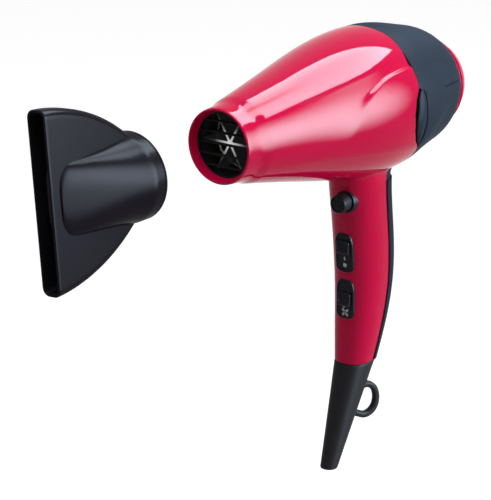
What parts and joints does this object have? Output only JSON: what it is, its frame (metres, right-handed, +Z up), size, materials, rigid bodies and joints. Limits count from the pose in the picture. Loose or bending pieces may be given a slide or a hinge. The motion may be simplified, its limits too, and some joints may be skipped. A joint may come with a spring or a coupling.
{
  "type": "hair dryer",
  "caption": "Pistol-shaped hair dryer with heat and speed slides, a cool-shot button, a pull-off intake cover, a cord guard with hanging loop and a push-on slot nozzle.",
  "frame": {"origin": "centre of the footprint, level with the tip of the cord guard", "axes": "+X along the barrel towards the intake, +Z up the handle, -Y the side towards which the hanging loop is turned"},
  "size_m": [0.3804, 0.0956, 0.292],
  "materials": {
    "housing_red": "high-gloss moulded shell",
    "soft_grey": "soft-touch satin",
    "black_satin": "satin black moulding",
    "black_matt": "matt black moulding",
    "heat_silver": "foil-faced mica sheet",
    "mica": "pale mica board",
    "heating_wire": "resistance wire",
    "steel": "plated steel",
    "copper": "copper and sintered bronze",
    "ferrite": "ferrite",
    "graphite": "carbon",
    "white_nylon": "white ceramic and nylon"
  },
  "bodies": {
    "dryer": {"left_housing": "housing_red", "right_housing": "housing_red", "rear_hood": "soft_grey", "left_louver": "soft_grey", "right_louver": "soft_grey", "grip_strip": "soft_grey", "outlet_grille": "black_matt", "heat_shield": "heat_silver", "mica_frame": "mica", "heating_coil": "heating_wire", "thermal_cutout": "steel", "thermal_fuse": "white_nylon", "fan_housing": "black_satin", "motor_can": "steel", "front_bushing": "copper", "rear_bushing": "copper", "upper_magnet": "ferrite", "lower_magnet": "ferrite", "motor_end_cap": "black_satin", "left_brush": "graphite", "right_brush": "graphite", "heat_bezel": "black_satin", "speed_bezel": "black_satin", "heat_switch": "black_matt", "speed_switch": "black_matt", "cool_shot_sleeve": "black_satin", "cool_shot_spring": "steel", "cool_shot_microswitch": "black_matt", "cord_guard": "black_satin", "housing_screw_1": "steel", "housing_screw_2": "steel", "housing_screw_3": "steel", "housing_screw_4": "steel"},
    "rotor": {"impeller": "black_matt", "motor_shaft": "steel", "armature": "copper", "commutator": "copper"},
    "cover": {"intake_cover": "housing_red", "filter_screen": "steel"},
    "heat_slider": {"heat_slider": "black_satin"},
    "speed_slider": {"speed_slider": "black_satin"},
    "cool_shot_button": {"cool_shot_button": "black_satin"},
    "nozzle": {"concentrator_nozzle": "black_satin"}
  },
  "joints": [
    {"name": "rotor_spin", "type": "hinge", "parent": "dryer", "child": "rotor", "pos_m": [0.10325, 0, 0.242], "axis": [1, 0, 0], "continuous": true},
    {"name": "cool_shot_press", "type": "slide", "parent": "dryer", "child": "cool_shot_button", "axis": [1, 0, 0], "range_m": [0, 0.003], "stiffness_N_per_m": 400, "springref_m": -0.003},
    {"name": "heat_slide", "type": "slide", "parent": "dryer", "child": "heat_slider", "axis": [-0.0839, 0, 0.9965], "range_m": [-0.008, 0]},
    {"name": "speed_slide", "type": "slide", "parent": "dryer", "child": "speed_slider", "axis": [-0.0158, 0, 0.9999], "range_m": [-0.004, 0.004]},
    {"name": "cover_pull", "type": "slide", "parent": "dryer", "child": "cover", "axis": [1, 0, 0], "range_m": [0, 0.025]},
    {"name": "nozzle_push", "type": "slide", "parent": "dryer", "child": "nozzle", "axis": [1, 0, 0], "range_m": [0, 0.0815]}
  ]
}
